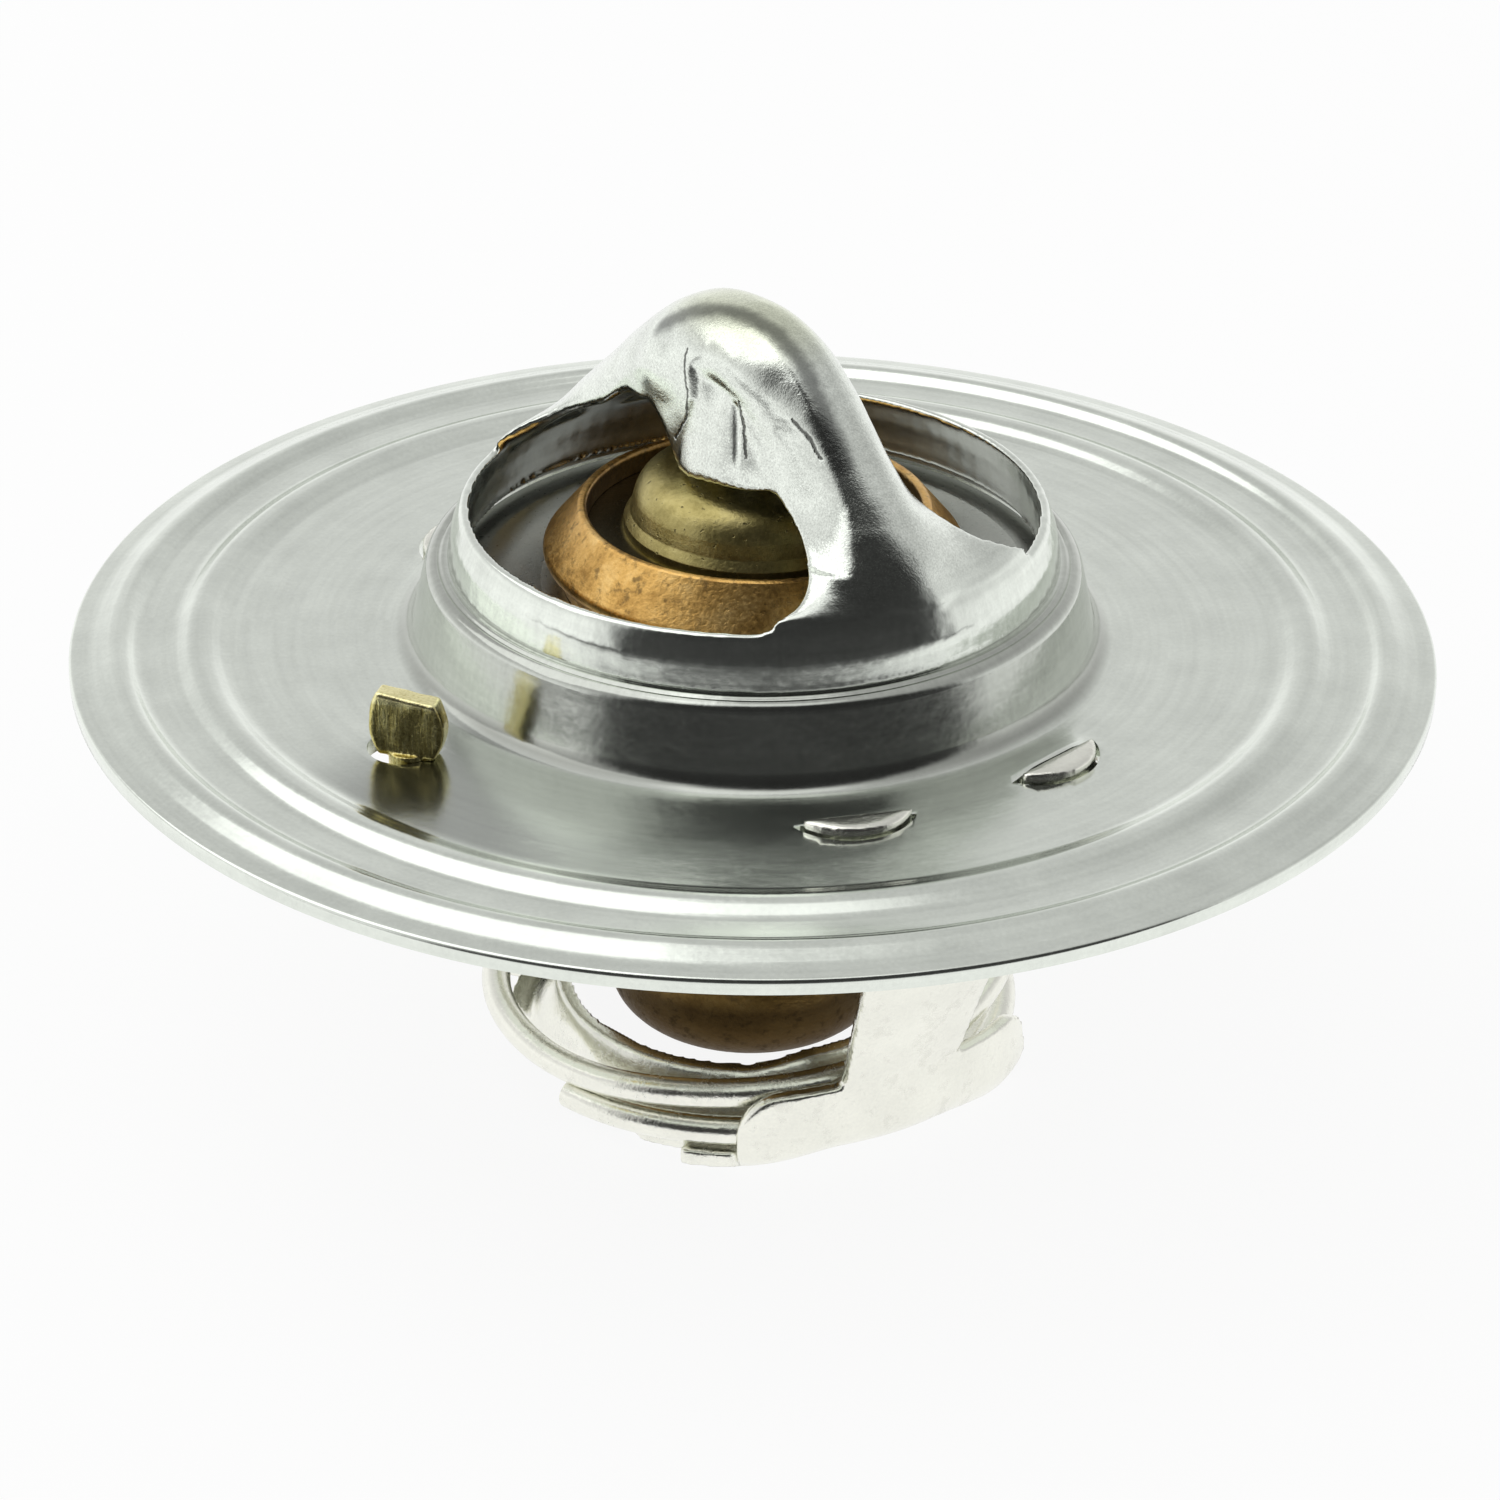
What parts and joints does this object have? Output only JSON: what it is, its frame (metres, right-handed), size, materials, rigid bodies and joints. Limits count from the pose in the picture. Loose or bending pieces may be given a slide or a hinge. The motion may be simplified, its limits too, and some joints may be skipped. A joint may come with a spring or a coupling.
{
  "type": "engine thermostat",
  "caption": "Round flanged coolant valve with a stepped neck, an arched bridge, a wax-filled copper element, a return spring and a sheet frame.",
  "frame": {"origin": "on the axis at the flange's top face", "axes": "+Z along the axis towards the bridge; -Y is the side of the vent pin and the front leg"},
  "size_m": [0.064, 0.064, 0.0386],
  "materials": {
    "satin_steel": "satin, fine grain",
    "bright_steel": "bright nickel",
    "spring_wire": "bright drawn wire",
    "plate_steel": "satin",
    "copper": "tarnished copper",
    "brass": "dull olive brass",
    "pin_steel": "ground",
    "rubber": "matte",
    "washer": "matte",
    "wax": "waxy",
    "pin_brass": "bright brass"
  },
  "bodies": {
    "housing": {"flange_and_bridge": "satin_steel", "lower_frame": "bright_steel", "piston_pin": "pin_steel", "main_spring": "spring_wire"},
    "valve": {"valve_plate": "plate_steel", "wax_cup": "copper", "guide_cap": "brass", "rubber_sleeve": "rubber", "backup_washer": "washer", "wax_charge": "wax"},
    "vent": {"jiggle_pin": "pin_brass"}
  },
  "joints": [
    {"name": "valve_lift", "type": "slide", "parent": "housing", "child": "valve", "axis": [0, 0, -1], "range_m": [0, 0.008], "stiffness_N_per_m": 2500, "springref_m": -0.012, "deforming": ["main_spring"]},
    {"name": "vent_lift", "type": "slide", "parent": "housing", "child": "vent", "axis": [0, 0, 1], "range_m": [0, 0.0014]}
  ]
}
